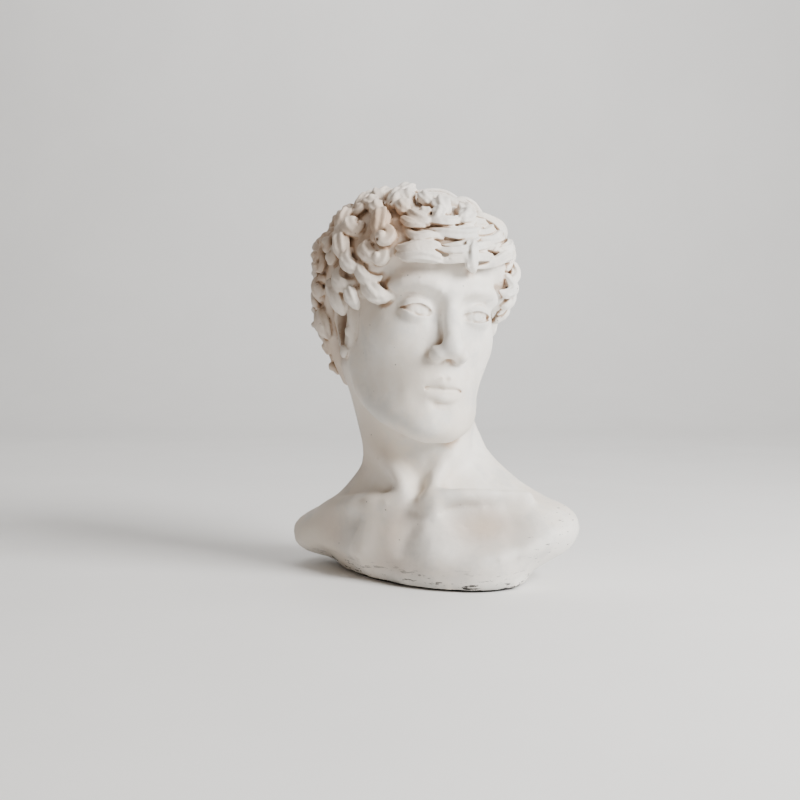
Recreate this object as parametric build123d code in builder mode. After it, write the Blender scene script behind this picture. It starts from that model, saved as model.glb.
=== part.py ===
"""Hollow cast bust of a young man: a fibre-reinforced casting closed by a board, with a steel neck rod inside.

Millimetres. +Z is up, the chest faces -Y and the wearer's left is +X. The origin is on the resting face, below
the middle of the shoulders.
"""

import os
from math import cos, radians, sin, tan

from build123d import *

# --- driving dimensions -------------------------------------------------------------------------
felt_thickness = 3.0
felt_inset = 4.0  # the felt stays this far inside the foot's outline
casting_wall = 18.0  # wall of the casting, more in the head
lining_thickness = 2.5
board_thickness = 9.0
board_gap = 1.0  # between the board's edge and the casting
rebate_inset = 9.0  # the board's seat, cut into the foot's rim
board_bottom = felt_thickness
board_top = board_bottom + board_thickness

# Ovals through the torso: height, centre x, centre y, width, depth, turn to the wearer's left and
# lift of the wearer's left side, in degrees. Each is wider than deep, so that the loft has no twist.
torso_sections = [
    (felt_thickness, 8, -10, 280, 158, -27, 0),
    (12, 8, -10, 290, 164, -25, 0.5),
    (26, 8, -8, 318, 174, -19, 2),
    (52, 6, -3, 360, 182, -9, 4),
    (76, 4, 1, 312, 172, -4, 4),
    (100, -1, 4, 226, 156, 0, 4),
    (126, -5, 0, 160, 141, 0, 2),
    (143, -7, -5, 144, 135, 0, 1),
    (160, -8, -10, 134, 130, 0, 0),
    (205, -8, -14, 126, 124, 0, 0),
    (252, -6, -16, 118, 116, 0, 0),
    (292, -6, -16, 106, 104, 0, 0),
]

neck_start = 8  # the section where the shoulders' loft ends and the neck's begins
foot_x, foot_y, foot_width, foot_depth, foot_turn = torso_sections[0][1:6]
flare_start = 26.0  # the cavity is straight up to here, and follows the shoulders above

# The head has its own frame: origin level with the chin, between the ears, x to the wearer's left,
# y to the back and z to the crown.
head_turn = 48.0
head_tilt = 6.5
head_origin = (-9.7, -31.9, 166.0)
chin_to_crown = 266.0
hair_top = 25.0  # the hair's depth on the crown

rod_radius = 6.0
rod_x, rod_y = -6.0, -10.0
rod_bottom, rod_top = 40.0, 398.0
batten_bottom, batten_height, batten_width = 60.0, 20.0, 44.0
neck_wad_bottom, neck_wad_height = 150.0, 24.0
crown_wad_bottom = 376.0
washer_radius, washer_thickness = 15.0, 2.0
nut_across_flats, nut_height = 19.0, 10.0

block_size = (34.0, 30.0, 30.0)
block_reach = (104.0, 48.0)  # the blocks' centres, along the foot and across it
screw_radius, screw_head_radius, screw_length = 2.0, 4.0, 30.0

tall = 500.0  # longer than anything here, for cutting tools


# --- shared forms -------------------------------------------------------------------------------
def head_plane():
    """The head's frame, turned to the wearer's left and tilted to the same side."""
    turn, tilt = radians(head_turn), radians(head_tilt)
    to_left = (cos(turn) * cos(tilt), sin(turn) * cos(tilt), -sin(tilt))
    to_crown = (cos(turn) * sin(tilt), sin(turn) * sin(tilt), cos(tilt))
    return Plane(origin=head_origin, x_dir=to_left, z_dir=to_crown)


head = head_plane()


UP, BACK, ACROSS = (0, 0, 0), (90, 0, 0), (0, 90, 0)  # turns that lay an egg's long axis


def egg(centre, radius, half_length, lie=UP):
    """A closed egg, round about its long axis, placed in the head's frame."""
    with BuildPart() as form:
        with BuildSketch(Plane.XZ):
            Ellipse(radius, half_length)
            split(bisect_by=Plane.YZ)
        revolve(axis=Axis.Z)
    return form.part.moved(head.location * Location(centre, lie))


def loft_ovals(sections, inset, straight=False):
    """A loft through tilted ovals, drawn in by inset, smooth or straight between them."""
    with BuildPart() as form:
        for height, x, y, width, depth, turn, lift in sections:
            turn, lift = radians(turn), radians(lift)
            along = (cos(turn), sin(turn), cos(turn) * tan(lift))
            level = Plane(origin=(x, y, height), x_dir=along, z_dir=(-sin(lift), 0, cos(lift)))
            with BuildSketch(level):
                Ellipse(width / 2 - inset, depth / 2 - inset)
        loft(ruled=straight)
    return form.part


def hollow_form(inset):
    """The casting's cavity, drawn in by inset: torso, neck and a plain dome in the head."""
    foot_oval = (foot_x, foot_y, foot_width, foot_depth, foot_turn, 0)
    straight_foot = [(height, *foot_oval) for height in (felt_thickness, flare_start)]
    with BuildPart() as form:
        add(loft_ovals(straight_foot + torso_sections[3:], casting_wall + inset, straight=True))
        add(egg((0, 6, 158), 60 - inset, 88 - inset))
    return form.part


def slab(bottom, height, length=tall, width=tall, centre=(0.0, 0.0), turn=0.0):
    """A level plate, used to cut a layer out of a form."""
    with BuildPart() as plate:
        with Locations(Location((centre[0], centre[1], bottom), (0, 0, turn))):
            Box(length, width, height, align=(Align.CENTER, Align.CENTER, Align.MIN))
    return plate.part


def foot_plate(bottom, height, inset):
    """A level plate with the foot's outline, drawn in by inset."""
    with BuildPart() as plate:
        with BuildSketch(Plane.XY.offset(bottom)):
            with Locations(Location((foot_x, foot_y), foot_turn)):
                Ellipse(foot_width / 2 - inset, foot_depth / 2 - inset)
        extrude(amount=height)
    return plate.part


# --- the casting --------------------------------------------------------------------------------
def nose_form():
    """A straight wedge nose with a rounded bridge."""
    half_width, bridge_width = 17.0, 14.0
    with BuildPart() as nose:
        with BuildSketch(head.offset(142)):
            with Locations((0, -88)):
                Ellipse(bridge_width / 2, 14)
        with BuildSketch(head.offset(84)):
            with Locations((0, -100)):
                Ellipse(half_width, 25)
        loft()
    return nose.part


def face_form():
    """Jaw, cheeks and forehead as one loft from the chin up, with nose, ears, eyes and lips."""
    # height above the chin, centre y, width, depth
    rings = [(0, -72, 42, 44), (28, -54, 96, 104), (78, -32, 136, 152), (128, -22, 148, 170), (188, -6, 146, 186)]
    quarter_turn = 90  # the rings are deeper than wide, so each is drawn long ways and turned
    with BuildPart() as face:
        for height, y, width, depth in rings:
            with BuildSketch(head.offset(height)):
                with Locations(Location((0, y), quarter_turn)):
                    Ellipse(max(depth, width) / 2, min(depth, width) / 2)
        loft()
        add(nose_form())
        for side in (-1, 1):
            add(egg((side * 74, 2, 112), 15, 36))
            add(egg((side * 35, -94, 133), 11, 18, ACROSS), mode=Mode.SUBTRACT)
            add(egg((side * 35, -86, 133), 14, 15))
        add(egg((0, -98, 55), 8, 26, ACROSS))
        add(egg((0, -96, 44), 8, 22, ACROSS))
    return face.part


def hair_cap():
    """The mass of hair, cut off along a slope from the forehead down to the nape, with a soft edge."""
    hair_radius, hair_half_length, hair_centre = 121.0, 140.0, 14.0
    slope, slope_height = 44.0, 110.0
    crown = chin_to_crown + hair_top
    hairline = head.offset(slope_height).rotated((-slope, 0, 0))
    with BuildPart() as cap:
        add(egg((0, hair_centre, crown - hair_radius), hair_radius, hair_half_length, BACK))
        split(bisect_by=hairline, keep=Keep.TOP)
        fillet(cap.faces().filter_by(GeomType.PLANE).edges(), 24)
    return cap.part


with BuildPart() as bust_casting:
    add(face_form())
    add(hair_cap())
    add(loft_ovals(torso_sections[neck_start:], 0))
    add(loft_ovals(torso_sections[: neck_start + 1], 0))
    add(hollow_form(0), mode=Mode.SUBTRACT)
    add(foot_plate(board_bottom, board_thickness, rebate_inset), mode=Mode.SUBTRACT)
bust_casting.part.label = "bust_casting"

# --- reinforcement inside -----------------------------------------------------------------------
with BuildPart() as scrim_lining:
    add(hollow_form(0))
    add(hollow_form(lining_thickness), mode=Mode.SUBTRACT)
    add(slab(0, board_top), mode=Mode.SUBTRACT)
scrim_lining.part.label = "scrim_lining"

inner_room = hollow_form(lining_thickness)

with BuildPart() as neck_rod:
    with Locations((rod_x, rod_y, rod_bottom)):
        Cylinder(rod_radius, rod_top - rod_bottom, align=(Align.CENTER, Align.CENTER, Align.MIN))
    chamfer(neck_rod.edges().filter_by(GeomType.CIRCLE), 1)
neck_rod.part.label = "neck_rod"

with BuildPart() as cross_batten:
    add(slab(batten_bottom, batten_height, width=batten_width, centre=(0, rod_y)))
    add(inner_room, mode=Mode.INTERSECT)
    add(neck_rod.part, mode=Mode.SUBTRACT)
cross_batten.part.label = "cross_batten"

with BuildPart() as neck_wad:
    add(slab(neck_wad_bottom, neck_wad_height))
    add(inner_room, mode=Mode.INTERSECT)
    add(neck_rod.part, mode=Mode.SUBTRACT)
neck_wad.part.label = "neck_wad"

with BuildPart() as crown_wad:
    add(slab(crown_wad_bottom, tall))
    add(inner_room, mode=Mode.INTERSECT)
    add(neck_rod.part, mode=Mode.SUBTRACT)
crown_wad.part.label = "crown_wad"

batten_top = batten_bottom + batten_height
with BuildPart() as rod_washers:
    for height in (batten_bottom - washer_thickness, batten_top):
        with BuildSketch(Plane.XY.offset(height)):
            with Locations((rod_x, rod_y)):
                Circle(washer_radius)
                Circle(rod_radius, mode=Mode.SUBTRACT)
        extrude(amount=washer_thickness)
rod_washers.part.label = "rod_washers"

with BuildPart() as rod_nuts:
    for height in (batten_bottom - washer_thickness - nut_height, batten_top + washer_thickness):
        with BuildSketch(Plane.XY.offset(height)):
            with Locations((rod_x, rod_y)):
                RegularPolygon(nut_across_flats / 2, 6, major_radius=False)
                Circle(rod_radius, mode=Mode.SUBTRACT)
        extrude(amount=nut_height)
rod_nuts.part.label = "rod_nuts"

# --- the foot -----------------------------------------------------------------------------------
reach_along, reach_across = block_reach
along, across = Vector(1, 0).rotate(Axis.Z, foot_turn), Vector(0, 1).rotate(Axis.Z, foot_turn)
foot_centre = Vector(foot_x, foot_y)
block_ways = [-along * reach_along, along * reach_along, -across * reach_across, across * reach_across]
block_places = [((foot_centre + way).X, (foot_centre + way).Y) for way in block_ways]

with BuildPart() as base_screws:
    for x, y in block_places:
        head_height = screw_head_radius - screw_radius
        with BuildSketch(Plane.XZ.offset(-y)):
            with BuildLine():
                Polyline(
                    (x, board_bottom),
                    (x + screw_head_radius, board_bottom),
                    (x + screw_radius, board_bottom + head_height),
                    (x + screw_radius, board_bottom + screw_length - 2 * screw_radius),
                    (x, board_bottom + screw_length),
                    close=True,
                )
            make_face()
        revolve(axis=Axis((x, y, 0), (0, 0, 1)))
base_screws.part.label = "base_screws"

with BuildPart() as rim_blocks:
    for place in block_places:
        add(slab(board_top, block_size[2], block_size[0], block_size[1], place, foot_turn))
    add(inner_room, mode=Mode.INTERSECT)
    add(base_screws.part, mode=Mode.SUBTRACT)
rim_blocks.part.label = "rim_blocks"

with BuildPart() as base_board:
    add(foot_plate(board_bottom, board_thickness, rebate_inset + board_gap))
    add(base_screws.part, mode=Mode.SUBTRACT)
base_board.part.label = "base_board"

with BuildPart() as felt_sheet:
    add(foot_plate(0, felt_thickness, felt_inset))
felt_sheet.part.label = "felt_sheet"

# --- files --------------------------------------------------------------------------------------
os.makedirs("parts", exist_ok=True)
pieces = [
    bust_casting,
    scrim_lining,
    neck_rod,
    cross_batten,
    neck_wad,
    crown_wad,
    rod_washers,
    rod_nuts,
    rim_blocks,
    base_board,
    base_screws,
    felt_sheet,
]
for piece in pieces:
    export_step(piece.part, f"parts/{piece.part.label}.step")
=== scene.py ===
"""A hollow cast bust of a young man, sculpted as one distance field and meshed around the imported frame.

Everything is in metres in the frame's own axes: +Z up, chest to -Y, the wearer's left to +X. The clay is
modelled in millimetres and scaled once, when it is meshed. The head has its own axes: x to the wearer's left,
y to the back of the head and z to the crown, with the chin level with its origin.
"""
from collections import namedtuple
from math import cos, pi, radians, sin, tau

import bpy
import numpy as np
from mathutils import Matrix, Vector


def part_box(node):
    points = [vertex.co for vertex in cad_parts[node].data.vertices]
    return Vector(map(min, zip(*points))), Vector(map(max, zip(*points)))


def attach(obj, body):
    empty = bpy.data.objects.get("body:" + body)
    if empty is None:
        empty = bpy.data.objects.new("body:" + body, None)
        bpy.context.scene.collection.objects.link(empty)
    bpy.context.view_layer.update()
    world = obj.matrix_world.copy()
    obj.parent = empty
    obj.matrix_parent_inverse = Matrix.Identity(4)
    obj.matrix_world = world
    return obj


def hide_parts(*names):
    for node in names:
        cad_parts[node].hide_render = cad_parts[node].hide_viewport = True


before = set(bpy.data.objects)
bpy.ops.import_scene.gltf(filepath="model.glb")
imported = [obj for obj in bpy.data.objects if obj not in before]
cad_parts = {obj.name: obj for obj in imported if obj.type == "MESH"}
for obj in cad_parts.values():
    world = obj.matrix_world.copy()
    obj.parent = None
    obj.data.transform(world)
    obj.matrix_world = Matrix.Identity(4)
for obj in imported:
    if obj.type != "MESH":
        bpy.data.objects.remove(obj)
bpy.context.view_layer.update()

import openvdb
from mathutils import Vector
from mathutils.bvhtree import BVHTree

bl_info = {
    "name": "Cast Bust",
    "version": (1, 0, 0),
    "blender": (4, 5, 0),
    "location": "3D View > Sidebar > Bust",
    "description": "Builds a hollow cast bust with carved curls, its felt foot and the frame inside it",
    "category": "Add Mesh",
}

MM = 0.001
SIDES = (-1, 1)  # the wearer's right and left


# --- modelling in clay ------------------------------------------------------------------------------------
Shape = namedtuple("Shape", "low high distance")  # its box, and its distance from points in its own place


class Place:
    """An origin and three axes to model in, in millimetres of the bust's frame."""

    def __init__(self, origin=(0, 0, 0), axes=((1, 0, 0), (0, 1, 0), (0, 0, 1))):
        self.origin = np.array(origin, float)
        self.axes = np.array(axes, float)

    def to_bust(self, points):
        return self.origin + np.asarray(points, float) @ self.axes


def turned(origin, turn, tilt):
    """A place turned to the wearer's left about z and then tilted to the same side, in degrees."""
    turn, tilt = radians(turn), radians(tilt)
    left = np.array((cos(turn) * cos(tilt), sin(turn) * cos(tilt), -sin(tilt)))
    top = np.array((cos(turn) * sin(tilt), sin(turn) * sin(tilt), cos(tilt)))
    return Place(origin, (left, np.cross(top, left), top))


BUST = Place()
HEAD = turned((-9.7, -31.9, 166.0), turn=48.0, tilt=6.5)


def mirrored(side, points):
    """Points given for the wearer's left, or their mirror image where side is -1."""
    return np.array(points, float) * (side, 1, 1)


def soft_min(a, b, blend):
    """The smaller of two distances, rounded where they meet."""
    if blend <= 0:
        return np.minimum(a, b)
    near = np.maximum(blend - np.abs(a - b), 0) / blend
    return np.minimum(a, b) - near * near * (blend * 0.25)


class Clay:
    """A block of clay on a grid: the distance to its skin in millimetres, negative inside."""

    far = 30.0  # the distance that an empty grid holds
    press_fade = 2.2  # a press has faded out at this many of its widths
    swells = 7  # waves that weathering adds up

    def __init__(self, low, high, step):
        self.step = step
        self.low = np.array(low, float)
        self.size = np.ceil((np.array(high, float) - self.low) / step).astype(int) + 1
        self.field = np.full(self.size, self.far, np.float32)

    def window(self, shape, place, margin):
        """The slices of the grid that hold a shape's box, with a margin."""
        box = np.array([shape.low, shape.high], float)
        corners = place.to_bust([box[pick, (0, 1, 2)] for pick in np.ndindex(2, 2, 2)])
        first = np.clip((corners.min(0) - margin - self.low) / self.step, 0, self.size).astype(int)
        last = np.clip((corners.max(0) + margin - self.low) / self.step + 2, 0, self.size).astype(int)
        return tuple(slice(a, b) for a, b in zip(first, last))

    def points(self, window, place):
        """The window's grid points as three arrays, in a place's own axes."""
        line = [np.arange(w.start, w.stop, dtype=np.float32) * self.step + low - start
                for w, low, start in zip(window, self.low, place.origin)]
        x, y, z = line[0][:, None, None], line[1][None, :, None], line[2][None, None, :]
        return [np.asarray(a[0] * x + a[1] * y + a[2] * z, np.float32) for a in place.axes]

    def add(self, shape, blend, place=BUST, margin=8.0, undercut=0.0, rim=2.0):
        """Joins a shape on. An undercut first cuts a groove that deep along the shape's edge, rim wide."""
        window = self.window(shape, place, margin + blend)
        distance = shape.distance(*self.points(window, place))
        old = self.field[window]
        if undercut:
            old = old + undercut * np.exp(-((distance / rim) ** 2))
        self.field[window] = soft_min(old, distance, blend)

    def cut(self, shape, blend, place=BUST):
        """Takes a shape away."""
        window = self.window(shape, place, blend + 1)
        distance = shape.distance(*self.points(window, place))
        self.field[window] = -soft_min(-self.field[window], distance, blend)

    def press(self, shape, height, width, place=BUST):
        """Raises the skin near a shape by height, or sinks it where height is negative, fading over width."""
        window = self.window(shape, place, self.press_fade * width)
        distance = np.maximum(shape.distance(*self.points(window, place)), 0)
        self.field[window] -= height * np.exp(-((distance / width) ** 2))

    def soften(self):
        """Rounds every edge a little, as a coat of paint does."""
        for axis in range(3):
            inner = [slice(None)] * 3
            before, after = list(inner), list(inner)
            inner[axis], before[axis], after[axis] = slice(1, -1), slice(None, -2), slice(2, None)
            both = self.field[tuple(before)] + self.field[tuple(after)]
            self.field[tuple(inner)] = 0.5 * self.field[tuple(inner)] + 0.25 * both

    def weather(self, height, low, high, rng):
        """Makes the skin uneven by about a height, in swells between two lengths."""
        rough = np.zeros_like(self.field)
        axes = [np.arange(n, dtype=np.float32) * self.step for n in self.size]
        for length in np.linspace(low, high, self.swells):
            way = rng.normal(size=3)
            way *= tau / length / np.linalg.norm(way)
            waves = [np.exp(1j * w * a).astype(np.complex64) for w, a in zip(way, axes)]
            waves[0] = waves[0] * np.exp(1j * rng.uniform(0, tau))
            rough += (waves[0][:, None, None] * waves[1][None, :, None] * waves[2][None, None, :]).real
        self.field += height * rough / 2

    def sample(self, points):
        """The distance at any points, in between the grid's own."""
        at = np.clip((points - self.low) / self.step, 0, self.size - 1.001)
        base = at.astype(int)
        part = at - base
        total = np.zeros(len(points))
        for corner in np.ndindex(2, 2, 2):
            share = np.prod(np.where(corner, part, 1 - part), axis=1)
            total += share * self.field[tuple((base + corner).T)]
        return total


def ball(centre, radii, turn=(0, 0, 0)):
    """An ellipsoid, turned about its own x, y and z in degrees."""
    cx, cy, cz = centre
    radii = np.array(radii, float) * np.ones(3)
    a, b, c = (radians(angle) for angle in turn)
    about_x = np.array(((1, 0, 0), (0, cos(a), -sin(a)), (0, sin(a), cos(a))))
    about_y = np.array(((cos(b), 0, sin(b)), (0, 1, 0), (-sin(b), 0, cos(b))))
    about_z = np.array(((cos(c), -sin(c), 0), (sin(c), cos(c), 0), (0, 0, 1)))
    rows = (about_z @ about_y @ about_x).T

    def distance(x, y, z):
        x, y, z = x - cx, y - cy, z - cz
        k0, k1 = 0, 0
        for row, radius in zip(rows, radii):
            along = (x * row[0] + y * row[1] + z * row[2]) / radius
            k0 = k0 + along**2
            k1 = k1 + (along / radius) ** 2
        k0 = np.sqrt(k0)
        return k0 * (k0 - 1) / np.sqrt(np.maximum(k1, 1e-12))

    reach = radii.max()
    return Shape(np.array(centre) - reach, np.array(centre) + reach, distance)


def limb(points, radii):
    """A round rod through points, with a radius at each."""
    points = np.array(points, float)
    radii = np.ones(len(points)) * radii

    def distance(x, y, z):
        best = None
        for a, b, ra, rb in zip(points, points[1:], radii, radii[1:]):
            run = b - a
            px, py, pz = x - a[0], y - a[1], z - a[2]
            t = np.clip((px * run[0] + py * run[1] + pz * run[2]) / (run @ run), 0, 1)
            off = np.sqrt((px - t * run[0]) ** 2 + (py - t * run[1]) ** 2 + (pz - t * run[2]) ** 2)
            d = off - (ra + t * (rb - ra))
            best = d if best is None else np.minimum(best, d)
        return best

    reach = radii.max()
    return Shape(points.min(0) - reach, points.max(0) + reach, distance)


def smooth_line(points, count):
    """count points along a smooth curve through the given ones."""
    points = np.array(points, float)
    ends = np.vstack((2 * points[0] - points[1], points, 2 * points[-1] - points[-2]))
    places = np.linspace(0, len(points) - 1, count)
    first = np.minimum(places.astype(int), len(points) - 2)
    t = (places - first)[:, None]
    p0, p1, p2, p3 = (ends[first + k] for k in range(4))
    square, cube = 2 * p0 - 5 * p1 + 4 * p2 - p3, 3 * p1 - p0 - 3 * p2 + p3
    return 0.5 * (2 * p1 + (p2 - p0) * t + square * t**2 + cube * t**3)


STACK_LEVELS = 160  # heights that a stack's table is worked out at
STACK_SPARE = np.array((4.0, 24.0, 20.0))  # how far its box stands clear of its ovals in x, y and z


def stack(rows, power):
    """A body through level ovals: height, centre x, y, half width, half depth, turn and lift in degrees."""
    rows = np.array(rows, float)
    heights = np.linspace(rows[0, 0], rows[-1, 0], STACK_LEVELS)
    table = monotone(rows[:, 0], rows[:, 1:], heights)
    slopes = np.gradient(table, heights, axis=0)

    def distance(x, y, z):
        lift = np.interp(z, heights, np.tan(np.radians(table[:, 5])))
        level = z - lift * (x - np.interp(z, heights, table[:, 0]))
        cx, cy, half_width, half_depth, turn = (np.interp(level, heights, table[:, k]) for k in range(5))
        grow_x, grow_y = (np.interp(level, heights, slopes[:, k]) for k in (2, 3))
        turn = np.radians(turn)
        dx, dy = x - cx, y - cy
        u = (dx * np.cos(turn) + dy * np.sin(turn)) / half_width
        v = (dy * np.cos(turn) - dx * np.sin(turn)) / half_depth
        size = (np.abs(u) ** power + np.abs(v) ** power) ** (1 / power)
        round_size = np.maximum(np.sqrt(u * u + v * v), 1e-6)
        radius = round_size / np.maximum(np.sqrt((u / half_width) ** 2 + (v / half_depth) ** 2), 1e-6)
        slope = (np.abs(grow_x * u) + np.abs(grow_y * v)) / round_size
        side = (size - 1) * radius / np.sqrt(1 + slope**2)
        return np.maximum(np.maximum(side, rows[0, 0] - z), level - rows[-1, 0]).astype(np.float32)

    middle, reach = rows[:, 1:3].mean(0), rows[:, 3:5].max(0)
    low = np.array((*(middle - reach), rows[0, 0])) - STACK_SPARE
    high = np.array((*(middle + reach), rows[-1, 0])) + STACK_SPARE
    return Shape(low, high, distance)


def monotone(knots, values, places):
    """Cubic interpolation with no overshoot between the knots."""
    steps = np.diff(knots)[:, None]
    secants = np.diff(values, axis=0) / steps
    slopes = np.zeros_like(values)
    before, after = secants[:-1], secants[1:]
    same_way = after * before > 0
    slopes[1:-1] = np.where(same_way, 2 * after * before / (after + before + ~same_way), 0)
    slopes[0], slopes[-1] = secants[0], secants[-1]
    first = np.clip(np.searchsorted(knots, places, side="right") - 1, 0, len(knots) - 2)
    h = steps[first]
    t = ((places - knots[first]) / h[:, 0])[:, None]
    leaving = values[first] * (1 + 2 * t) * (1 - t) ** 2 + slopes[first] * h * t * (1 - t) ** 2
    return leaving + values[first + 1] * t**2 * (3 - 2 * t) + slopes[first + 1] * h * t**2 * (t - 1)


# --- shoulders and neck -----------------------------------------------------------------------------------
FOOT_LEVEL = 3.0  # the casting's underside, on top of the felt

# height, centre x, centre y, half width, half depth, turn, lift
TORSO = [
    (3, 8, -10, 141, 80, -27, 0),
    (10, 8, -10, 145, 83, -25, 0.5),
    (24, 8, -8, 158, 88, -20, 2),
    (38, 7, -5, 174, 92, -12, 3),
    (52, 6, -2, 179, 91, -8, 3.5),
    (70, 4, 1, 161, 86, -4, 4),
    (87, 2, 4, 132, 80, -2, 5),
    (106, 0, 5, 100, 74, 0, 4),
    (130, -3, 3, 74, 68, 0, 2),
    (150, -6, -4, 66, 65, 0, 0),
    (175, -8, -10, 62, 62, 0, 0),
    (230, -8, -16, 58, 59, 0, 0),
    (290, -6, -16, 54, 54, 0, 0),
]


def shape_shoulders(clay):
    """Chest, shoulders and neck, with the muscles and bones that show through the skin."""
    clay.add(stack(TORSO, power=2.15), blend=0, margin=12)
    # the rounded caps of the shoulders
    clay.add(ball((140, -8, 54), (46, 64, 32), (0, -14, -6)), blend=14)
    clay.add(ball((-134, 6, 35), (37, 56, 26), (0, 8, -6)), blend=14)
    # the slopes from the neck to the shoulders
    for line in ([(16, 22, 172), (44, 26, 128), (104, 16, 82)],
                 [(-36, 20, 168), (-58, 24, 114), (-104, 18, 47)]):
        clay.add(limb(line, (28, 22, 15)), blend=20)
    notch = np.array((30.0, -78.0, 102.0))
    behind_right, behind_left = HEAD.to_bust((-62, 22, 70)), HEAD.to_bust((62, 26, 66))
    for line, first_radius, last_radius, blend in (
        # the two bands of muscle from behind the ears to the notch
        ([behind_right, (-42, -46, 170), (-8, -68, 132), notch + (-12, 2, -2)], 17, 8, 16),
        ([behind_left, (52, -20, 160), (48, -52, 128), notch + (12, 3, 0)], 14, 7, 16),
        # the collar bones
        ([notch + (12, 0, -6), (62, -80, 99), (98, -62, 101), (140, -34, 98)], 9, 7, 14),
        ([notch + (-14, 0, -6), (-12, -80, 88), (-58, -66, 82), (-112, -36, 68)], 9, 7, 14),
    ):
        clay.add(limb(smooth_line(line, 9), np.linspace(first_radius, last_radius, 9)), blend=blend)
    clay.press(ball(notch + (0, -2, 6), (5, 6, 5)), -5.5, 9)
    edge = [(30, -102, 14), (70, -104, 20), (108, -98, 32), (142, -84, 46), (172, -60, 58), (188, -34, 64)]
    for line, radius, height, width in (
        # hollows above and below the collar bones
        ([(62, -44, 118), (92, -36, 112)], 3, -5, 16),
        ([(-46, -54, 108), (-72, -44, 92)], 3, -3, 14),
        ([(94, -92, 66), (136, -76, 66)], 5, -12, 21),
        ([(-52, -84, 56), (-84, -76, 48)], 4, -5, 18),
        # the breast muscles, with the furrow between them
        ([(46, -92, 78), (62, -96, 52)], 5, 5, 19),
        ([(-8, -90, 66), (-34, -88, 44)], 6, 4, 20),
        ([(30, -88, 88), (24, -94, 40)], 2, -3.5, 9),
        # the soft edge where the chest turns under, and two folds beside the breast
        (smooth_line(edge, 12), 1, 5.0, 9),
        (smooth_line([(-34, -96, 12), (-40, -92, 48), (-30, -84, 84)], 8), 3, 3.5, 9),
        (smooth_line([(-62, -92, 14), (-66, -86, 50), (-56, -76, 84)], 8), 2, 3.0, 10),
        # the shoulder blades and the furrow of the spine
        ([(96, 84, 66), (64, 92, 40)], 8, 5, 24),
        ([(-92, 84, 52), (-62, 92, 34)], 8, 5, 24),
        ([(2, 92, 20), (0, 84, 90), (-6, 58, 150)], 2, -5, 13),
    ):
        clay.press(limb(line, radius), height, width)


# --- face -------------------------------------------------------------------------------------------------
EYE = (34.0, -80.0, 133.0)  # the wearer's left eyeball, and mirrored for the right
EYE_RADIUS = 14.5

# the head's place: height, centre y, half width, half depth
FACE = [(height, 0, y, half_width, half_depth, 0, 0) for height, y, half_width, half_depth in (
    (-6, -60, 22, 24),
    (6, -56, 36, 41),
    (22, -44, 49, 56),
    (40, -34, 59, 63),
    (64, -26, 66, 72),
    (90, -20, 71, 79),
    (116, -16, 74, 82),
    (140, -10, 74, 86),
    (165, -4, 76, 96),
    (192, 4, 79, 102),
    (225, 10, 72, 94),
    (252, 12, 48, 66),
    (264, 12, 22, 34),
)]


def shape_head(clay):
    """Skull, jaw and cheeks, without the features."""
    clay.add(stack(FACE, 2.25), blend=10, place=HEAD, margin=12)
    clay.add(ball((0, 16, 178), (82, 104, 87)), blend=14, place=HEAD)
    for side in SIDES:
        jaw = smooth_line(mirrored(side, [(16, -84, 14), (44, -54, 22), (60, -20, 40), (68, 0, 82)]), 8)
        clay.add(limb(jaw, (11, 11, 11, 11, 10, 10, 9, 8)), blend=22, place=HEAD)
        clay.press(ball((side * 54, -66, 108), (14, 10, 10)), 4.5, 17, HEAD)
        clay.press(ball((side * 42, -84, 74), (6, 6, 10)), -2.5, 16, HEAD)
        clay.press(limb(mirrored(side, [(70, -50, 168), (72, -34, 186)]), 4), -3, 18, HEAD)
    clay.add(ball((0, -84, 14), (21, 19, 15)), blend=16, place=HEAD)
    clay.press(limb([(0, -56, -8), (0, -20, -22)], 10), -3, 20, HEAD)


def shape_brow_and_nose(clay):
    """A calm level brow and a straight nose."""
    for side in SIDES:
        brow = smooth_line(mirrored(side, [(9, -97, 157), (26, -97, 162), (46, -86, 163), (60, -70, 156)]), 9)
        clay.add(limb(brow, np.linspace(8.5, 5.5, 9)), blend=12, place=HEAD)
        clay.cut(ball((side * 34, -106, 137), (19, 16, 13), (0, 0, side * 14)), blend=13, place=HEAD)
        clay.press(ball((side * 15, -98, 135), (2, 6, 8)), -3.5, 8, HEAD)
    bridge = smooth_line([(0, -94, 158), (0, -97, 142), (0, -106, 118), (0, -115, 99)], 8)
    clay.add(limb(bridge, np.linspace(8.5, 9.5, 8)), blend=9, place=HEAD)
    clay.add(ball((0, -115, 96), (12, 13, 10.5)), blend=7, place=HEAD)
    for side in SIDES:
        clay.add(ball((side * 13.5, -107, 90), (8, 11, 8), (0, 0, side * -16)), blend=5, place=HEAD)
        clay.press(limb(mirrored(side, [(21, -98, 97), (22, -94, 88)]), 0.5), -2.2, 3.5, HEAD)
        clay.cut(ball((side * 7.5, -112, 80.5), (4.4, 7.5, 4.5), (0, 0, side * -14)), blend=2.5, place=HEAD)


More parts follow.
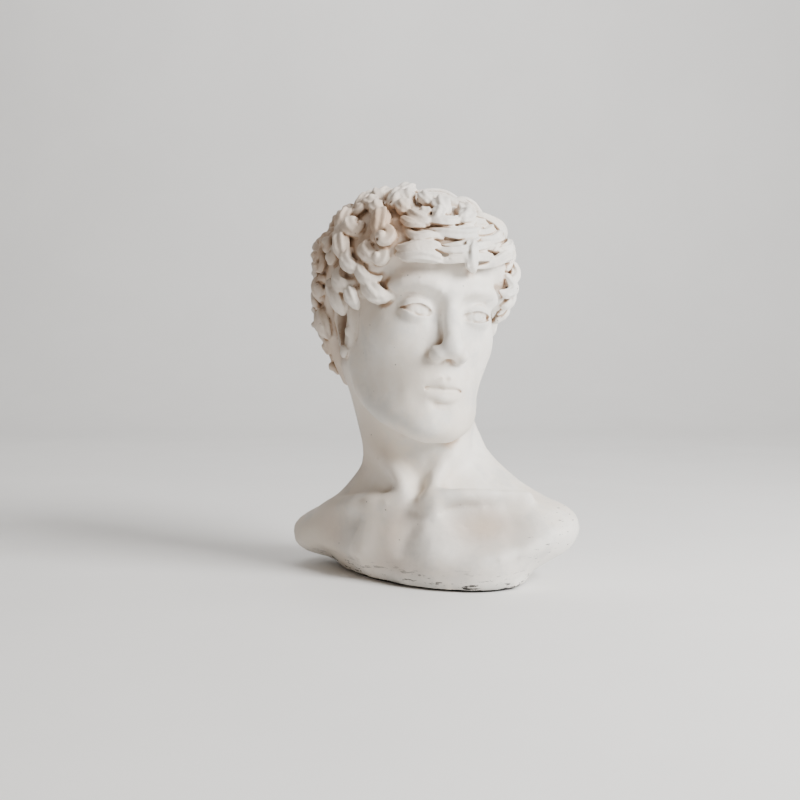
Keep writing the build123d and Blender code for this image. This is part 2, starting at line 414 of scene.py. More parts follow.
def shape_eye(clay, side):
    """An open eye: the ball, two lids with crisp edges, the crease above and a lightly cut iris."""
    x, y, z = side * EYE[0], EYE[1], EYE[2]
    clay.add(ball((x, y, z), EYE_RADIUS), blend=1.0, place=HEAD)
    half_width, rise, drop = 19.0, 7.2, 5.6  # the opening between the lids
    lid = ball((x, y - 0.4, z), (EYE_RADIUS + 4.5, EYE_RADIUS + 2.7, EYE_RADIUS + 2.6))

    def around_opening(px, py, pz):
        across = np.clip((px - x) / half_width, -1.15, 1.15)
        corner = z + 1.6 * across * side  # the outer corner sits a little higher
        bow = 1 - np.abs(across) ** 2.2
        outside = np.maximum(pz - (corner + rise * bow), corner - drop * bow - pz)
        return -soft_min(-lid.distance(px, py, pz), outside, 1.2)

    clay.add(Shape(lid.low, lid.high, around_opening), blend=3.0, place=HEAD)
    for height, depth, lift in ((rise + 6.5, -1.5, 1.0), (-drop - 5.0, -0.8, -1.0)):
        crease = [(x + side * a, y - (EYE_RADIUS + 3.5) * cos(a / 27),
                   z + height * (1 - (a / 23) ** 2) + lift) for a in range(-17, 20, 4)]
        clay.press(limb(crease, 0.3), depth, 2.4, HEAD)
    iris = 6.2
    ring = [(x + iris * cos(a), y - 13.2, z + 1 + iris * sin(a)) for a in np.linspace(0, tau, 17)]
    clay.press(limb(ring, 0.2), -0.9, 1.3, HEAD)
    clay.press(ball((x, y - 14.5, z + 1.4), 1.2), -1.6, 2.2, HEAD)


def shape_mouth(clay):
    """Closed lips at rest, the groove above them and the fold above the chin."""
    clay.press(ball((0, -96, 56), (24, 6, 14)), 5.0, 13, HEAD)
    upper = smooth_line([(-27, -90, 51.5), (-15, -99.5, 56), (-5, -104, 58.6), (0, -104, 57.2),
                         (5, -104, 58.6), (15, -99.5, 56), (27, -90, 51.5)], 15)
    swell = np.sin(np.linspace(0, pi, 15)) ** 0.6
    clay.add(limb(upper, 1.8 + 3.9 * swell), blend=3.5, place=HEAD)
    lower = smooth_line([(-25, -90, 49), (-13, -98.5, 44.5), (0, -102, 43.2),
                         (13, -98.5, 44.5), (25, -90, 49)], 15)
    clay.add(limb(lower, 1.8 + 5.2 * swell), blend=3.5, place=HEAD)
    parting = smooth_line([(-26, -92, 50.5), (-14, -103, 51.6), (0, -108, 50.4),
                           (14, -103, 51.6), (26, -92, 50.5)], 15)
    clay.press(limb(parting, 0.3), -2.2, 1.9, HEAD)
    for side in SIDES:
        clay.press(ball((side * 29, -88, 50), 1.5), -1.0, 5.0, HEAD)
        clay.press(limb(mirrored(side, [(4.2, -106, 78), (4.6, -107, 64)]), 0.6), 0.9, 2.2, HEAD)
    clay.press(limb([(0, -107, 77), (0, -108, 65)], 0.8), -1.3, 2.6, HEAD)
    fold = smooth_line([(-16, -92, 33), (0, -99, 31), (16, -92, 33)], 7)
    clay.press(limb(fold, 0.5), -3.2, 6.5, HEAD)


def shape_ear(clay, side):
    """An ear: the bowl, the outer rim, the inner fold, the flap before the canal and the lobe."""
    ear = Place(HEAD.to_bust((side * 77, 6, 112)), HEAD.axes)
    clay.add(ball((0, 0, 0), (10, 17, 34), (10, 0, side * 14)), blend=5, place=ear)
    out = side * 9
    rim = smooth_line([(out * 0.6, -9, 6), (out, -12, 22), (out * 1.3, -2, 34), (out * 1.5, 12, 30),
                       (out * 1.5, 18, 12), (out * 1.2, 14, -8), (out * 0.9, 7, -20)], 16)
    clay.add(limb(rim, 3.4), blend=1.5, place=ear)
    clay.add(ball((out * 0.6, 0, -28), (5, 8.5, 9)), blend=3, place=ear)
    clay.press(ball((out, 2, -2), (2, 6, 9)), -6, 6, ear)
    fold = smooth_line([(out * 1.0, 2, 24), (out * 1.2, 9, 12), (out * 1.1, 8, -6), (out * 0.9, 3, -16)], 9)
    clay.press(limb(fold, 0.8), 2.4, 2.6, ear)
    clay.add(ball((out * 0.7, -9, -6), (4, 4, 6)), blend=2.5, place=ear)


# --- hair -------------------------------------------------------------------------------------------------
SCALP_CENTRE = np.array((-4.0, 22.0, 184.0))
SCALP = np.array((105.0, 133.0, 86.0))
NAPE_DEPTH = 158.0  # the scalp's radius below its centre, in place of the last one above
FRONT_LIMIT = -131.0  # no lock stands out further in front of the bust
WHORL = np.array((6.0, 74.0, 252.0))

# the hairline on each side: distance back from the ear, and the height above the chin
HAIRLINE = np.array([(-112, 198), (-96, 197), (-84, 189), (-72, 174), (-60, 158), (-48, 148), (-30, 142),
                     (-18, 140), (-8, 142), (-1, 148), (10, 154), (22, 146), (30, 110), (38, 76), (54, 48),
                     (130, 42)], float)


def above_hairline(points):
    """How far above the hairline points of the head are, in millimetres."""
    points = np.atleast_2d(points)
    return points[:, 2] - np.interp(points[:, 1], HAIRLINE[:, 0], HAIRLINE[:, 1])


def on_scalp(points, height=0.0):
    """Points moved onto the scalp, or that height above it, and the scalp's outward directions there."""
    away = np.atleast_2d(points) - SCALP_CENTRE
    radii = np.where(away[:, 2:] < 0, (*SCALP[:2], NAPE_DEPTH), SCALP)
    ways = away / radii
    ways /= np.linalg.norm(ways, axis=1)[:, None]
    normals = ways / radii
    normals /= np.linalg.norm(normals, axis=1)[:, None]
    return SCALP_CENTRE + ways * radii + normals * np.reshape(height, (-1, 1)), normals


def lock(line, normals, radii, ridges=5, twist=0.0, flat=0.8, groove=0.16, phase=0.0):
    """A carved lock of hair along a line: a flattened, tapering rod with ridges along it."""
    line, normals = np.array(line, float), np.array(normals, float)
    too_far = FRONT_LIMIT - (HEAD.to_bust(line)[:, 1] - np.array(radii)).min()
    line = line - normals * 1.2 * max(0.0, too_far)
    runs = np.diff(line, axis=0)
    lengths = np.linalg.norm(runs, axis=1)
    along = np.concatenate(([0], np.cumsum(lengths)))

    def distance(x, y, z):
        best = None
        for k, (a, run, length) in enumerate(zip(line, runs, lengths)):
            ahead = run / length
            up = normals[k] - (normals[k] @ ahead) * ahead
            up /= np.linalg.norm(up)
            side = np.cross(ahead, up)
            px, py, pz = x - a[0], y - a[1], z - a[2]
            s = px * ahead[0] + py * ahead[1] + pz * ahead[2]
            t = np.clip(s / length, 0, 1)
            off = s - t * length
            rise = (px * up[0] + py * up[1] + pz * up[2]) / flat
            across = px * side[0] + py * side[1] + pz * side[2]
            angle = np.arctan2(rise, across)
            turn = phase + twist * (along[k] + t * length) / along[-1]
            radius = radii[k] + t * (radii[k + 1] - radii[k])
            ridge = 1 + groove * np.cos(ridges * angle + turn)
            d = (np.sqrt(off * off + rise * rise + across * across) - radius * ridge) * (0.5 + 0.5 * flat)
            best = d if best is None else np.minimum(best, d)
        return best.astype(np.float32)

    reach = max(radii) * 1.15
    return Shape(line.min(0) - reach, line.max(0) + reach, distance)


TWIST = (-2.5, 2.5)  # how far a lock's ridges wind round it, in radians
THINNEST_TIP = 1.8


def flow(points, normals):
    """The way hair lies at points of the scalp: away from the whorl, forward on top and down at the sides."""
    ways = points - WHORL
    ways /= np.linalg.norm(ways, axis=1)[:, None]
    top = np.clip((points[:, 2] - 190) / 70, 0, 1)[:, None]
    ways = ways + top * np.array((-0.45, -0.75, 0)) + (1 - top) * np.array((0, -0.25, -0.35))
    ways -= (ways * normals).sum(1)[:, None] * normals
    return ways / np.linalg.norm(ways, axis=1)[:, None]


def comma(start, length, bend, radius, lift, rng):
    """A short lock that leaves the scalp at start, follows the hair's flow and curls over at its tip."""
    count = 9  # points along it
    point = np.atleast_2d(start)
    line, normals = [], []
    angle = -0.35 * bend
    for k in range(count):
        t = k / (count - 1)
        point, normal = on_scalp(point)
        way = flow(point, normal)
        across = np.cross(normal, way)
        way = way * cos(angle) + across * sin(angle)
        rise = lift * sin(pi * min(1, t * 1.15)) + radius * 0.25 - 3.0 * t**3
        line.append((point + normal * rise)[0])
        normals.append(normal[0])
        point = point + way * (length / (count - 1))
        angle += bend * (0.5 + 1.2 * t) / (count - 1) * 2
    t = np.linspace(0, 1, count)
    radii = radius * (0.55 + 0.75 * np.sin(pi * np.clip(t * 0.9 + 0.08, 0, 1)) - 0.35 * t**2)
    radii = np.maximum(radii, THINNEST_TIP)
    return lock(line, normals, radii, ridges=6, twist=rng.uniform(*TWIST), phase=rng.uniform(0, tau))


def snail(start, size, spin, lift, rng):
    """A round curl that winds in on itself to a bulb, and the drilled hole beside its middle."""
    centre, normal = on_scalp(start)
    way = flow(centre, normal)[0]
    normal = normal[0]
    across = np.cross(normal, way)
    count = 15  # points along it
    line, normals, radii = [], [], []
    for k in range(count):
        t = k / (count - 1)
        angle = spin * (pi * 0.7 + tau * 1.15 * t)
        reach = size * (0.95 - 0.9 * t)
        foot, up = on_scalp(centre[0] + way * reach * cos(angle) + across * reach * sin(angle))
        line.append(foot[0] + up[0] * lift * (0.1 + 0.9 * t))
        normals.append(up[0])
        radii.append(size * (0.50 - 0.16 * t))
    curl = lock(line, normals, radii, ridges=5, twist=1.5, flat=0.9, groove=0.12, phase=rng.uniform(0, tau))
    beside = centre[0] + (way * cos(angle + 2) + across * sin(angle + 2)) * size * 0.45
    hole = limb([beside + normal * (lift + size * 0.9), beside - normal * 2], 1.1 + 0.05 * size)
    return curl, hole


LOCK_CLEAR = 4.0  # short locks start at least this far above the hairline
CURL_CLEAR, CURL_TOP = 10.0, 255.0  # and round curls this far above it, and below this height


def scatter_on_scalp(count):
    """Points spread evenly over the scalp above the hairline."""
    k = np.arange(count)
    height = 1 - 2 * (k + 0.5) / count
    angle = k * pi * (3 - 5**0.5)
    ring = np.sqrt(1 - height**2)
    ways = np.stack((ring * np.cos(angle), ring * np.sin(angle), height * 1.15), 1)
    points, _ = on_scalp(SCALP_CENTRE + ways * SCALP)
    return points[above_hairline(points) > LOCK_CLEAR]


HAIR_SEED = 11
CARVING = dict(blend=2.2, undercut=1.7, rim=1.7)  # how softly each lock joins those under it
COMBED_CLEAR = 10.0  # short locks start at least this far from the combed strands
DRILLED = 0.4  # the share of round curls with a hole drilled beside the bulb

# Long combed strands: two guide lines over the scalp, how many strands lie between them,
# their thickness, and how far they weave.
SWATHES = [
    # the crown, combed over to the wearer's left
    ([(-2, 44, 266), (40, 40, 256), (80, 30, 234), (100, 8, 204)],
     [(-26, -24, 268), (14, -42, 262), (46, -46, 250), (72, -46, 230)], 6, 7.0, 3.0),
    # the side of the head on the wearer's left, falling in waves
    ([(98, 14, 212), (106, 4, 190), (105, -10, 166), (98, -22, 146)],
     [(68, -54, 234), (82, -66, 212), (84, -74, 188), (78, -78, 162)], 5, 6.4, 4.0),
    # the roll over the forehead, swept from the wearer's left to the right
    ([(88, -48, 212), (66, -86, 202), (36, -108, 196), (-8, -118, 190), (-44, -110, 188), (-68, -94, 194)],
     [(62, -52, 244), (30, -84, 242), (0, -98, 236), (-28, -98, 232), (-48, -88, 236), (-56, -72, 246)],
     5, 6.6, 4.5),
]


GUIDE_POINTS = 60


def across_swathe(guides, along, share):
    """A point between two guide lines, and the way across them there."""
    shares = np.linspace(0, 1, GUIDE_POINTS)
    first, last = (np.stack([np.interp(along, shares, line[:, k]) for k in range(3)], -1)
                   for line in (smooth_line(guide, GUIDE_POINTS) for guide in guides))
    across = last - first
    return first + across * np.reshape(share, (-1, 1)), across / np.linalg.norm(across, axis=-1)[:, None]


def lay_swathe(clay, guides, count, radius, weave, rng):
    """Locks laid end over end between two guide lines, each weaving and hooked at its tip."""
    t = np.linspace(0, 1, 12)
    for begin in (0.62, 0.30, 0.0):
        for share in rng.permutation(np.linspace(0.0, 1.0, count)):
            reach = rng.uniform(0.36, 0.52)
            along = np.clip(begin + rng.uniform(-0.08, 0.08) + reach * t, 0, 1.04)
            place, across = across_swathe(guides, np.minimum(along, 1), share)
            wave = weave * np.sin(tau * (0.9 * t + rng.uniform(-0.1, 0.1)) + 2.2 * share)
            hook = rng.choice((-1, 1)) * rng.uniform(2, 9) * t**3
            lift = 1.0 + rng.uniform(1, 9) * np.sin(pi * np.clip(t * 1.1, 0, 1)) - 2.0 * t**3
            line, normals = on_scalp(place + across * (wave + hook)[:, None], lift)
            size = radius * rng.uniform(0.85, 1.2)
            radii = size * (0.6 + 0.5 * np.sin(pi * np.clip(t * 0.92 + 0.06, 0, 1)) - 0.38 * t**3)
            piece = lock(line, normals, radii, ridges=rng.integers(5, 8), twist=rng.uniform(*TWIST),
                         groove=0.21, phase=rng.uniform(0, tau))
            clay.add(piece, place=HEAD, blend=1.4, undercut=2.6, rim=1.8)


def shape_hair(clay, count):
    """The mass of hair and then its locks, from the nape up and forward, the combed strands last."""
    rng = np.random.default_rng(HAIR_SEED)
    upper, lower = ball(SCALP_CENTRE, SCALP), ball(SCALP_CENTRE, (*SCALP[:2], NAPE_DEPTH))

    def mass_above_hairline(x, y, z):
        mass = np.where(z < SCALP_CENTRE[2], lower.distance(x, y, z), upper.distance(x, y, z))
        line = np.interp(y, HAIRLINE[:, 0], HAIRLINE[:, 1]).astype(np.float32) + np.where(y > 44, -6, 5)
        return -soft_min(-mass, (z - line) * 0.7, 10)

    clay.add(Shape(lower.low, lower.high, mass_above_hairline), blend=4, place=HEAD)
    for side in SIDES:
        tail = smooth_line(mirrored(side, [(88, 34, 118), (78, 42, 84), (60, 50, 52)]), 8)
        clay.add(limb(tail, np.linspace(11, 7, 8)), blend=8, place=HEAD)
    combed = [across_swathe(guides, np.linspace(0, 1, 9), share)[0]
              for *guides, _, _, _ in SWATHES for share in (0, 0.25, 0.5, 0.75, 1)]
    combed = on_scalp(np.vstack(combed))[0]
    points = scatter_on_scalp(count)
    points = points[np.linalg.norm(points[:, None] - combed[None], axis=2).min(1) > COMBED_CLEAR]
    order = np.argsort(np.linalg.norm(points - WHORL, axis=1) - 60 * (points[:, 1] < -40))[::-1]
    for start in points[order]:
        start = start + rng.normal(0, 2.5, 3)
        # round curls are common on the wearer's right, fewer behind, and rare elsewhere
        curly = np.clip(-start[0] / 70, 0, 1) + 0.35 * (start[1] > 60) + 0.2
        if rng.random() < 0.5 * curly and above_hairline(start)[0] > CURL_CLEAR and start[2] < CURL_TOP:
            curl, hole = snail(start, rng.uniform(10.5, 14), rng.choice((-1, 1)), rng.uniform(7, 12), rng)
            clay.add(curl, place=HEAD, **CARVING)
            if rng.random() < DRILLED:
                clay.cut(hole, blend=1.5, place=HEAD)
        else:
            piece = comma(start, rng.uniform(30, 46), rng.choice((-1, 1)) * rng.uniform(0.7, 1.9),
                          rng.uniform(6.0, 9.0), rng.uniform(3, 8), rng)
            clay.add(piece, place=HEAD, **CARVING)
    for first, last, strands, radius, weave in SWATHES:
        lay_swathe(clay, (first, last), strands, radius, weave, rng)
    clay.soften()


# --- hollow and mesh --------------------------------------------------------------------------------------
def outline(node, heights, middle, ways=72):
    """How far a node's outside reaches from a middle point, all round at each height."""
    tree = BVHTree.FromObject(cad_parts[node], bpy.context.evaluated_depsgraph_get())
    far = 1.0
    table = np.zeros((len(heights), ways))
    for row, height in enumerate(heights):
        for k in range(ways):
            way = Vector((cos(tau * k / ways), sin(tau * k / ways), 0))
            hit = tree.ray_cast(Vector((*middle, height)) + far * way, -way, far)[0]
            table[row, k] = far - (Vector((*middle, height)) + far * way - hit).length if hit else 0
    return table


def outline_shape(node, heights, gap=0.0):
    """A shape with a node's outside, widened by a gap, as a distance in millimetres."""
    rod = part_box("neck_rod")
    middle = [(a + b) / 2 for a, b in zip(rod[0][:2], rod[1][:2])]
    table = outline(node, heights, middle) / MM
    table[table > 0] += gap
    table = np.hstack((table, table[:, :1]))
    first, spacing, turns = heights[0] / MM, (heights[1] - heights[0]) / MM, table.shape[1] - 1

    def distance(x, y, z):
        dx, dy = x - middle[0] / MM, y - middle[1] / MM
        at = (np.arctan2(dy, dx) / tau % 1) * turns
        column = np.minimum(at.astype(np.int32), turns - 1)
        part = at - column
        level = np.clip((z - first) / spacing, 0, len(heights) - 1.001)
        row = level.astype(np.int32)
        rise = level - row
        near = table[row, column] * (1 - part) + table[row, column + 1] * part
        above = table[row + 1, column] * (1 - part) + table[row + 1, column + 1] * part
        reach = near * (1 - rise) + above * rise
        side = (np.sqrt(dx * dx + dy * dy) - reach) * 0.8
        return np.maximum(side, z - heights[-1] / MM).astype(np.float32)

    low, high = (np.array(c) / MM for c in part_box(node))
    return Shape(low - gap - (0, 0, 20), high + gap, distance)


def hollow_out(clay):
    """Cuts the hollow that the lining fills, the seat of the base board, and the level underside."""
    low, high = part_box("scrim_lining")
    clay.cut(outline_shape("scrim_lining", np.linspace(low.z + 0.0005, high.z - 0.001, 110)), blend=0)
    low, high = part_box("base_board")
    clay.cut(outline_shape("base_board", np.linspace(low.z + 0.001, high.z, 3), gap=1.0), blend=0)
    level = clay.low[2] + clay.step * np.arange(clay.size[2])
    clay.field[:] = np.maximum(clay.field, (FOOT_LEVEL - level).astype(np.float32))


# painted warm shade, as tan patches in the broad hollows and on the shaded side of face and hair: place,
# reach, strength
PAINTED_SHADE_PATCHES = [
    ((112, -88, 72), (40, 40, 22), 1.0),
    ((4, -92, 62), (26, 40, 34), 0.7),
    ((-92, -70, 50), (34, 50, 40), 0.6),
    ((-70, -30, 128), (34, 50, 34), 0.7),
    ((-30, -80, 150), (40, 34, 26), 0.7),
    ((40, -90, 22), (90, 40, 12), 0.4),
    ((-104, -50, 250), (40, 60, 70), 0.9),
    ((-62, -64, 376), (68, 64, 66), 1.4),
    ((16, -112, 392), (40, 36, 40), 1.1),
]


ADAPTIVITY = 0.12  # how readily flat parts of the mesh get larger faces
# how far off the skin a recess is felt for, and that reach's share
RECESS_REACHES = ((3.0, 0.4), (8.0, 0.6))


def mesh_of(clay, name):
    """The clay's skin as a smooth mesh in metres. Each point holds its depth in a recess and its share of
    painted tan shade.
    """
    band = 3 * clay.step
    grid = openvdb.FloatGrid(band)
    grid.copyFromArray(np.clip(clay.field, -band, band))
    grid.gridClass = openvdb.GridClass.LEVEL_SET
    points, triangles, quads = grid.convertToPolygons(isovalue=0.0, adaptivity=ADAPTIVITY)
    points = clay.low + points * clay.step
    points[:, 2] = np.where(points[:, 2] < FOOT_LEVEL + 0.4 * clay.step, FOOT_LEVEL, points[:, 2])
    mesh = bpy.data.meshes.new(name)
    faces = [list(f[::-1]) for f in quads] + [list(f[::-1]) for f in triangles]
    mesh.from_pydata((points * MM).tolist(), [], faces)
    mesh.update()
    mesh.polygons.foreach_set("use_smooth", np.ones(len(mesh.polygons), bool))
    normals = np.zeros(len(points) * 3)
    mesh.vertices.foreach_get("normal", normals)
    normals = normals.reshape(-1, 3)
    # how enclosed each point is, which the material turns into painted shade
    recess = np.zeros(len(points))
    for reach, share in RECESS_REACHES:
        recess += share * np.clip(1 - clay.sample(points + normals * reach) / reach, 0, 1)
    painted_shade_patch = sum(share * np.exp(-(((points - place) / reach) ** 2).sum(1)) for place, reach, share in PAINTED_SHADE_PATCHES)
    for label, values in (("recess", recess), ("painted_shade_patch", painted_shade_patch)):
        mesh.attributes.new(label, "FLOAT", "POINT").data.foreach_set("value", values.astype(np.float32))
    return mesh


# --- materials --------------------------------------------------------------------------------------------
class Tree:
    """Short calls that place and join the nodes of one tree."""

    def __init__(self, tree):
        self.tree = tree

    def node(self, kind, inputs=None, **settings):
        made = self.tree.nodes.new(kind)
        for name, value in settings.items():
            setattr(made, name, value)
        for name, value in (inputs or {}).items():
            self.put(made.inputs[name], value)
        return made

    def put(self, socket, value):
        if isinstance(value, bpy.types.Node):
            value = value.outputs[0]
        if isinstance(value, bpy.types.NodeSocket):
            self.tree.links.new(value, socket)
        else:
            socket.default_value = value

    def place(self):
        """Where on the piece a point is, in metres."""
        return self.node("ShaderNodeTexCoord").outputs["Object"]

    def noise(self, place, scale, detail, roughness, stretch=None):
        if stretch:
            place = self.node("ShaderNodeMapping", {"Vector": place, "Scale": stretch})
        inputs = {"Vector": place, "Scale": scale, "Detail": detail, "Roughness": roughness}
        return self.node("ShaderNodeTexNoise", inputs, noise_dimensions="3D")

    def steps(self, value, low, high, to_low=0.0, to_high=1.0):
        """A value between low and high, spread smoothly over to_low to to_high."""
        inputs = {"Value": value, "From Min": low, "From Max": high, "To Min": to_low, "To Max": to_high}
        return self.node("ShaderNodeMapRange", inputs, interpolation_type="SMOOTHSTEP")

    def math(self, operation, a, b):
        return self.node("ShaderNodeMath", {0: a, 1: b}, operation=operation)

    def mix(self, share, a, b):
        """One colour turning into another by a share."""
        made = self.node("ShaderNodeMix", data_type="RGBA")
        self.put(made.inputs[0], share)
        for socket, value in ((made.inputs[6], a), (made.inputs[7], b)):
            self.put(socket, value if isinstance(value, bpy.types.NodeSocket) else (*value[:3], 1.0))
        return made.outputs[2]

    def group(self, build, **sizes):
        """Places a shared group, which is built the first time that it is asked for."""
        group = bpy.data.node_groups.get(build.__name__) or build(build.__name__)
        inputs = {label.replace("_", " "): value for label, value in sizes.items()}
        return self.node("ShaderNodeGroup", inputs, node_tree=group).outputs

    def surface(self, colour, roughness, bump=None):
        """Feeds the shader. A bump is its strength, its height in metres and the node that shapes it."""
        shader = self.tree.nodes["Principled BSDF"].inputs
        self.put(shader["Base Color"], colour)
        self.put(shader["Roughness"], roughness)
        if bump:
            inputs = dict(zip(("Strength", "Distance", "Height"), bump))
            self.put(shader["Normal"], self.node("ShaderNodeBump", inputs))


def new_group(name, sizes, results):
    """An empty shader group with these sizes going in and these results coming out."""
    group = bpy.data.node_groups.new(name, "ShaderNodeTree")
    for label, value in sizes.items():
        made = group.interface.new_socket(label, in_out="INPUT", socket_type="NodeSocketFloat")
        made.default_value = value
    for label in results:
        group.interface.new_socket(label, in_out="OUTPUT", socket_type="NodeSocketFloat")
    given, made = group.nodes.new("NodeGroupInput"), group.nodes.new("NodeGroupOutput")
    return group, Tree(group), given.outputs, made.inputs


def surface_grain(name):
    """Soft clouds, sparse pits and fine grain over any surface, as masks and a height."""
    group, t, given, made = new_group(name, {"Cloud Size": 30.0, "Grain Size": 700.0, "Pit Share": 0.5},
                                      ("Cloud", "Patch", "Pits", "Height"))
    place = t.place()
    t.put(made["Cloud"], t.noise(place, given["Cloud Size"], 4.0, 0.6))
    t.put(made["Patch"], t.noise(place, t.math("MULTIPLY", given["Cloud Size"], 0.37), 5.0, 0.62))
    grain = t.noise(place, given["Grain Size"], 4.0, 0.65)
    cell_size = t.math("MULTIPLY", given["Grain Size"], 0.22)
    cells = t.node("ShaderNodeTexVoronoi", {"Vector": place, "Scale": cell_size, "Randomness": 1.0}).outputs
    chosen = t.node("ShaderNodeSeparateColor", {"Color": cells["Color"]})
    rare = t.math("LESS_THAN", chosen, given["Pit Share"])
    pit = t.math("MULTIPLY", t.steps(cells["Distance"], 0.22, 0.05), rare)
    t.put(made["Pits"], pit)
    t.put(made["Height"], t.math("SUBTRACT", t.math("MULTIPLY", grain, 0.35), pit))
    return group


def wood_grain(name):
    """Long grain along x, as a light and dark share and a height."""
    group, t, given, made = new_group(name, {"Ring Size": 60.0}, ("Rings", "Height"))
    place = t.place()
    rings = t.noise(place, given["Ring Size"], 6.0, 0.6, stretch=(0.12, 1.0, 1.6))
    fibre_size = t.math("MULTIPLY", given["Ring Size"], 9.0)
    fibre = t.noise(place, fibre_size, 3.0, 0.7, stretch=(0.05, 1.0, 1.0))
    share = t.math("ADD", t.math("MULTIPLY", rings, 0.7), t.math("MULTIPLY", fibre, 0.3))
    t.put(made["Rings"], t.steps(share, 0.35, 0.62))
    t.put(made["Height"], fibre)
    return group


def new_material(name, **shader_values):
    """A material with its shader's own constants set, and calls to add its nodes."""
    material = bpy.data.materials.new(name)
    material.use_nodes = True
    shader = material.node_tree.nodes["Principled BSDF"]
    for label, value in shader_values.items():
        shader.inputs[label.replace("_", " ")].default_value = value
    return material, Tree(material.node_tree)


def casting_material(colours):
    """Painted cast stone: warm ivory, painted tan shade in the recesses and hollows, grey patches, pits, and
    the dark core at chips.
    """
    material, t = new_material("cast_stone", Specular_IOR_Level=0.35)
    grain = t.group(surface_grain, Cloud_Size=22.0, Grain_Size=900.0, Pit_Share=0.02)
    cloud, patch = grain["Cloud"], grain["Patch"]
    recess, painted_shade_patch = (t.node("ShaderNodeAttribute", attribute_name=name).outputs["Fac"]
                    for name in ("recess", "painted_shade_patch"))
    colour = t.mix(t.steps(patch, 0.38, 0.62), colours.stone, colours.stone_light)
    colour = t.mix(t.steps(cloud, 0.47, 0.66, 0.0, 0.7), colour, colours.stone_grey)
    # painted warm shade: the tan patches, broken up by noise
    painted_shade_patch = t.math("MULTIPLY", painted_shade_patch, t.steps(patch, 0.34, 0.60, 0.35, 1.0))
    colour = t.mix(t.math("MULTIPLY", painted_shade_patch, 0.95), colour, colours.stone_wash)
    # painted shade: the skin turns tan where it is enclosed in a recess
    painted_recess_shade = t.steps(t.math("ADD", recess, t.math("MULTIPLY", cloud, 0.25)), 0.42, 0.95)
    colour = t.mix(t.math("MULTIPLY", painted_recess_shade, 0.9), colour, colours.stone_shade)
    place = t.place()
    where = t.node("ShaderNodeSeparateXYZ", {"Vector": place}).outputs
    # chips along the rim of the foot, and a few at the end of the wearer's left shoulder
    flakes = t.noise(place, 95.0, 5.0, 0.7, stretch=(0.45, 0.45, 2.2))
    low_down = t.steps(where["Z"], 0.030, 0.004)
    chips = t.math("MULTIPLY", t.steps(flakes, 0.575, 0.60), low_down)
    high_flakes = t.noise(place, 160.0, 4.0, 0.7, stretch=(0.4, 0.4, 2.6))
    far_left = t.steps(where["X"], 0.150, 0.170)
    high_chips = t.math("MULTIPLY", t.steps(high_flakes, 0.645, 0.66), far_left)
    bare = t.math("MAXIMUM", t.math("MAXIMUM", chips, high_chips), t.math("MULTIPLY", grain["Pits"], 0.8))
    # darker towards the foot, in clouds
    darker_foot = t.math("MULTIPLY", t.steps(where["Z"], 0.012, 0.002), t.steps(cloud, 0.40, 0.60))
    colour = t.mix(t.math("MULTIPLY", darker_foot, 0.45), colour, colours.stone_grime)
    lumps = t.math("MULTIPLY", t.noise(place, 60.0, 3.0, 0.5), 1.2)
    height = t.math("ADD", t.math("MULTIPLY", grain["Height"], 0.22), lumps)
    height = t.math("SUBTRACT", height, t.math("MULTIPLY", bare, 0.5))
    t.surface(t.mix(bare, colour, colours.core), t.steps(cloud, 0.3, 0.7, 0.52, 0.66), (0.55, 0.0006, height))
    return material


def plaster_material(colours):
    """Plaster thrown on by hand, dull and pitted."""
    material, t = new_material("rough_plaster", Specular_IOR_Level=0.25)
    grain = t.group(surface_grain, Cloud_Size=45.0, Grain_Size=600.0, Pit_Share=0.12)
    colour = t.mix(t.steps(grain["Cloud"], 0.4, 0.65), colours.plaster, colours.stone_grey)
    t.surface(colour, t.steps(grain["Cloud"], 0.3, 0.7, 0.8, 0.95), (0.8, 0.001, grain["Height"]))
    return material


def scrim_material(colours):
    """Open-weave scrim soaked in plaster: crossing threads that show through a thin coat."""
    material, t = new_material("scrim", Specular_IOR_Level=0.2)
    thread = {"Vector": t.place(), "Scale": 160.0, "Distortion": 1.5, "Detail": 2.0}
    weave = t.math("MAXIMUM", *(t.node("ShaderNodeTexWave", thread, bands_direction=way).outputs[1]
                                for way in ("Z", "DIAGONAL")))
    grain = t.group(surface_grain, Cloud_Size=40.0, Grain_Size=500.0, Pit_Share=0.05)
    share = t.math("MULTIPLY", t.steps(weave, 0.6, 0.95), t.steps(grain["Cloud"], 0.35, 0.6))
    colour = t.mix(share, colours.plaster, colours.scrim)
    t.surface(colour, t.steps(weave, 0.0, 1.0, 0.92, 0.8), (0.7, 0.0008, weave))
    return material


def wood_material(name, dark, light, ring_size):
    """Planed softwood with long grain."""
    material, t = new_material(name, Specular_IOR_Level=0.3)
    wood = t.group(wood_grain, Ring_Size=ring_size)
    roughness = t.steps(wood["Height"], 0.3, 0.7, 0.6, 0.78)
    t.surface(t.mix(wood["Rings"], dark, light), roughness, (0.35, 0.0005, wood["Height"]))
    return material


def steel_material(colours):
    """Zinc-plated steel, cloudy and a little rough."""
    material, t = new_material("zinc_steel", Metallic=1.0)
    grain = t.group(surface_grain, Cloud_Size=160.0, Grain_Size=1500.0, Pit_Share=0.0)
    dull = tuple(0.72 * c for c in colours.steel)
    colour = t.mix(t.steps(grain["Cloud"], 0.4, 0.6), colours.steel, dull)
    t.surface(colour, t.steps(grain["Cloud"], 0.3, 0.7, 0.28, 0.5), (0.25, 0.0002, grain["Height"]))
    return material


def felt_material(colours):
    """Pressed felt: matted fibres with a soft sheen."""
    material, t = new_material("black_felt", Specular_IOR_Level=0.15, Sheen_Weight=0.3, Sheen_Roughness=0.6)
    place = t.place()
    height = t.math("ADD", *(t.noise(place, 1300.0, 4.0, 0.7, stretch=way)
                             for way in ((1, 0.25, 1), (0.25, 1, 1))))
    lint = tuple(3 * c + 0.02 for c in colours.felt)
    colour = t.mix(t.steps(height, 1.05, 1.3), colours.felt, lint)
    t.surface(colour, t.steps(height, 0.7, 1.3, 0.98, 0.88), (0.9, 0.0006, height))
    return material


